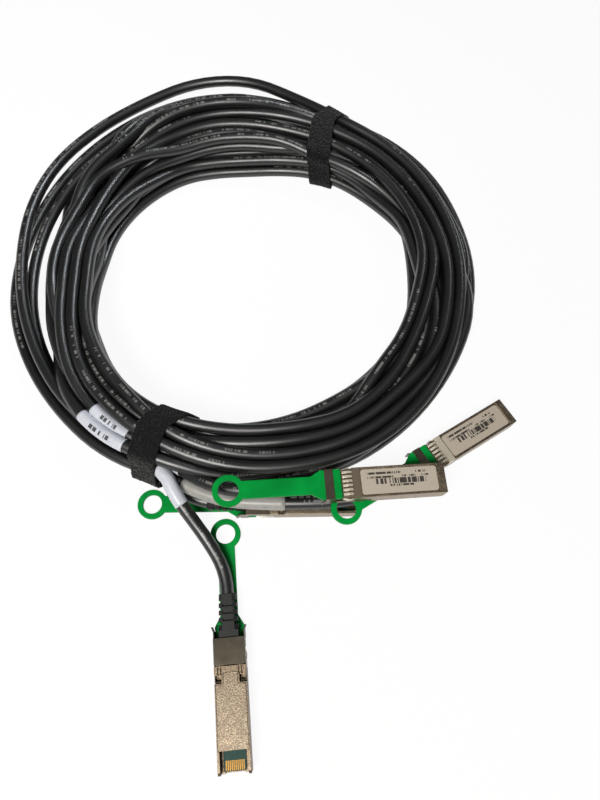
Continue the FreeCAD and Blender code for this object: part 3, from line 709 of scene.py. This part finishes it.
# how far along a line each of its points is
def runAlong(line):
    return np.concatenate([[0], np.cumsum(np.linalg.norm(np.diff(line, axis=0), axis=1))])


# Wrap labels: film rolled round a cable, its edge lapped over itself

wrapSize = dict(thick=0.16, gap=0.05, lap=0.35, lapLift=1.2, liftFrom=2.6, liftOver=0.5, aim=0.5,
                alongCount=24, acrossCount=40)
# each label's cable, a place near its middle, its length and how far its lap is turned round
wraps = dict(
    # leg c's run label takes the greyer film colours: painted shadow of plug B
    wrap_c_run=dict(leg="c", near=(-1, -132, 12.4), length=49, turn=250, state="shaded"),
    wrap_a_run=dict(leg="a", near=(-28.5, -126.5, 18), length=20, turn=60),
    wrap_b_run=dict(leg="b", near=(-31.5, -117, 17), length=14, turn=60),
    wrap_b_turn=dict(leg="b", near=(-59.5, -100, 23.6), length=27, turn=-5),
    wrap_c_turn=dict(leg="c", near=(-55.4, -96, 22), length=21, turn=-15),
)


def addWrap(name, spec):
    line = lines[spec["leg"]]
    steps = runAlong(line)
    middle = steps[np.argmin(np.linalg.norm(line - np.array(spec["near"]), axis=1))]

    def spot(s):
        return Vector([np.interp(s, steps, line[:, axis]) for axis in range(3)])

    def bend(along, across):
        s = middle + (along - 0.5) * spec["length"]
        way = (spot(s + wrapSize["aim"]) - spot(s - wrapSize["aim"])).normalized()
        side = Vector((0, 0, 1)).cross(way).normalized()
        up = way.cross(side)
        sweep = (math.pi + wrapSize["lap"]) * across
        angle = math.radians(spec["turn"]) + sweep
        lapped = clamp((sweep - wrapSize["liftFrom"]) / wrapSize["liftOver"])
        reach = cordHalf + wrapSize["gap"] + wrapSize["thick"] * wrapSize["lapLift"] * lapped
        return spot(s) + up * math.cos(angle) * reach + up.cross(way) * math.sin(angle) * reach

    piece = addStrip(name, wrapSize, bend, wrapFilms[spec.get("state", "unshaded")])
    applyAll(piece)
    return piece


wrapPieces = {name: addWrap(name, spec) for name, spec in wraps.items()}
print("wrap labels rolled")


# Ties: straps drawn round the turns, with the end lapped over

strap = dict(width=13.0, thick=1.5, lap=15.0, slack=0.2, lapGap=0.1, liftFrom=9, liftOver=8, floorGap=0.4,
             swingOver=16, edge=6, ringPoints=16, loopPoints=160, smoothing=4, alongCount=480, acrossCount=36)
strapNap = dict(scale=0.0005, strength=0.0009, middle=0.6)
# each strap's middle, the way to its far end, its reach from the middle, and how far the far end swings right
straps = dict(
    low_tie=dict(centre=(-38.3, -108.8), turn=72, reach=29, veer=6.0),
    high_tie=dict(centre=(40.8, 66), turn=82, reach=37, veer=8.0),
)


# a strap's middle on the floor, the way to its far end and the way to its right
def strapAxes(spec):
    p = math.radians(spec["turn"])
    return (*spec["centre"], 0), (math.cos(p), math.sin(p), 0), (math.sin(p), -math.cos(p), 0)


# the cords' sections in a plane across the bundle, as points round each
def sections(spec, shift):
    centre, way, right = map(np.array, strapAxes(spec))
    start = centre + right * shift
    reach = cordHalf + strap["slack"]
    found = []
    for line in lines.values():
        off = (line - start) @ right
        for i in np.nonzero(off[:-1] * off[1:] < 0)[0]:
            step = line[i + 1] - line[i]
            at = line[i] + step * off[i] / (off[i] - off[i + 1])
            u = (at - start) @ way
            if abs(u) < spec["reach"]:
                tilt = abs(step @ right) / np.linalg.norm(step)
                for k in range(strap["ringPoints"]):
                    a = 2 * math.pi * k / strap["ringPoints"]
                    found.append((u + reach / tilt * math.cos(a), at[2] + reach * math.sin(a)))
    return found


# the tightest loop round the points, anticlockwise
def hullOf(points):
    points = sorted(set(points))

    def half(ordered):
        chain = []
        for q in ordered:
            while len(chain) > 1 and ((chain[-1][0] - chain[-2][0]) * (q[1] - chain[-2][1])
                                      - (chain[-1][1] - chain[-2][1]) * (q[0] - chain[-2][0])) <= 0:
                chain.pop()
            chain.append(q)
        return chain[:-1]

    return half(points) + half(points[::-1])


# a strap's loop in one plane, as even points from its near end, with their outward ways
def loopAt(spec, shift):
    points = [q for q in sections(spec, shift) if q[0] < 0]
    points += [q for q in sections(spec, shift + spec["veer"]) if q[0] >= 0]
    loop = np.array(hullOf(points))
    first = int(np.argmin(loop[:, 0]))
    loop = np.vstack([loop[first:], loop[:first + 1]])
    steps = runAlong(loop)
    even = np.linspace(0, steps[-1], strap["loopPoints"] + 1)[:-1]
    path = np.column_stack([np.interp(even, steps, loop[:, axis]) for axis in range(2)])
    for again in range(strap["smoothing"]):
        path = (np.roll(path, 1, 0) + 2 * path + np.roll(path, -1, 0)) / 4
    run = np.roll(path, -1, 0) - np.roll(path, 1, 0)
    out = np.column_stack([run[:, 1], -run[:, 0]]) / np.linalg.norm(run, axis=1)[:, None]
    return path, out, steps[-1]


def addStrap(name, spec):
    left, mid, other = (loopAt(spec, shift) for shift in (-strap["edge"], 0, strap["edge"]))
    around = mid[2]
    low, top = mid[0][:, 1].min(), mid[0][:, 1].max()
    far = mid[0][:, 0].max()
    start, way, right = map(Vector, strapAxes(spec))

    def bend(along, across):
        s = along * (around + strap["lap"])
        k = s / around * strap["loopPoints"]
        i, share = int(k) % strap["loopPoints"], k - int(k)
        side = left if across < 0 else other
        path, out = (mid[n] * (1 - abs(across)) + side[n] * abs(across) for n in range(2))
        u, z = path[i] * (1 - share) + path[(i + 1) % strap["loopPoints"]] * share
        lift = (strap["thick"] + strap["lapGap"]) * clamp((s - around + strap["liftFrom"]) / strap["liftOver"])
        u, z = u + out[i][0] * lift, max(z + out[i][1] * lift, strap["thick"] + strap["floorGap"])
        swing = smooth((u - far + strap["swingOver"]) / strap["swingOver"])
        below = clamp((u + far) / (2 * far))
        height = clamp((z - low) / (top - low))
        aside = spec["veer"] * (swing * height + below * (1 - height))
        return start + way * u + right * (across * strap["width"] / 2 + aside) + Vector((0, 0, z))

    piece = addStrip(name + "_strap", strap, bend, strapFabric)
    nap = bpy.data.textures.new(name + "_nap", "CLOUDS")
    nap.noise_scale = strapNap["scale"]
    fuzz = piece.modifiers.new("nap", "DISPLACE")
    fuzz.texture = nap
    fuzz.texture_coords = "LOCAL"
    fuzz.strength = strapNap["strength"]
    fuzz.mid_level = strapNap["middle"]
    applyAll(piece)
    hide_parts(name)


for name, spec in straps.items():
    addStrap(name, spec)
print("ties drawn round")


# Floor and light

floorSpec = dict(size=24, colour=(0.9, 0.9, 0.9, 1), rough=0.9, glow=0.92)
lamps = dict(
    ceiling=dict(place=(0, -0.1, 1.0), aim=(0, 0, 0), size=0.9, power=0.35, colour=(1, 0.98, 0.95), spread=180),
    key=dict(place=(-0.2, -0.6, 0.9), aim=(0, 0, 0), size=0.36, power=11.5, colour=(1, 0.98, 0.95), spread=180),
    window=dict(place=(0.36, 0.57, 0.84), aim=(-0.22, 0.02, 0), size=0.4, power=0.22, colour=(0.9, 0.95, 1),
                spread=16),
)
sky = dict(colour=(0.94, 0.97, 1, 1), strength=0.1)


# white to the camera and in reflections, with a faint shadow kept
def floorFinish():
    f = Finish("floor", Base_Color=floorSpec["colour"], Roughness=floorSpec["rough"])
    seen = sum(f.node("LightPath", out=ray)
               for ray in ("Is Camera Ray", "Is Glossy Ray", "Is Transmission Ray"))
    glow = f.node("Emission", None, {"Color": grey(1), "Strength": 1.0})
    mixed = f.node("MixShader", None, {0: seen * floorSpec["glow"], 1: Value(f, f.shader.outputs[0]), 2: glow})
    f.set(f.tree.nodes["Material Output"], {"Surface": mixed})
    return f.material


def addFloor():
    bpy.ops.object.select_all(action="DESELECT")
    bpy.ops.mesh.primitive_plane_add(size=floorSpec["size"])
    floor = bpy.context.object
    floor.name = "floor"
    floor.data.materials.append(floorFinish())


def addLamp(name, place, aim, size, power, colour, spread):
    data = bpy.data.lights.new(name, "AREA")
    data.size = size
    data.energy = power
    data.color = colour
    data.spread = math.radians(spread)
    lamp = addObject(name, data)
    lamp.location = place
    lamp.rotation_euler = (Vector(aim) - Vector(place)).to_track_quat("-Z", "Y").to_euler()


def addSky():
    world = bpy.data.worlds.new("world")
    world.use_nodes = True
    background = world.node_tree.nodes["Background"]
    background.inputs["Color"].default_value = sky["colour"]
    background.inputs["Strength"].default_value = sky["strength"]
    bpy.context.scene.world = world


addFloor()
for name, spec in lamps.items():
    addLamp(name, **spec)
addSky()
bpy.context.scene.view_settings.view_transform = "Standard"
print("light set")

bpy.context.view_layer.update()
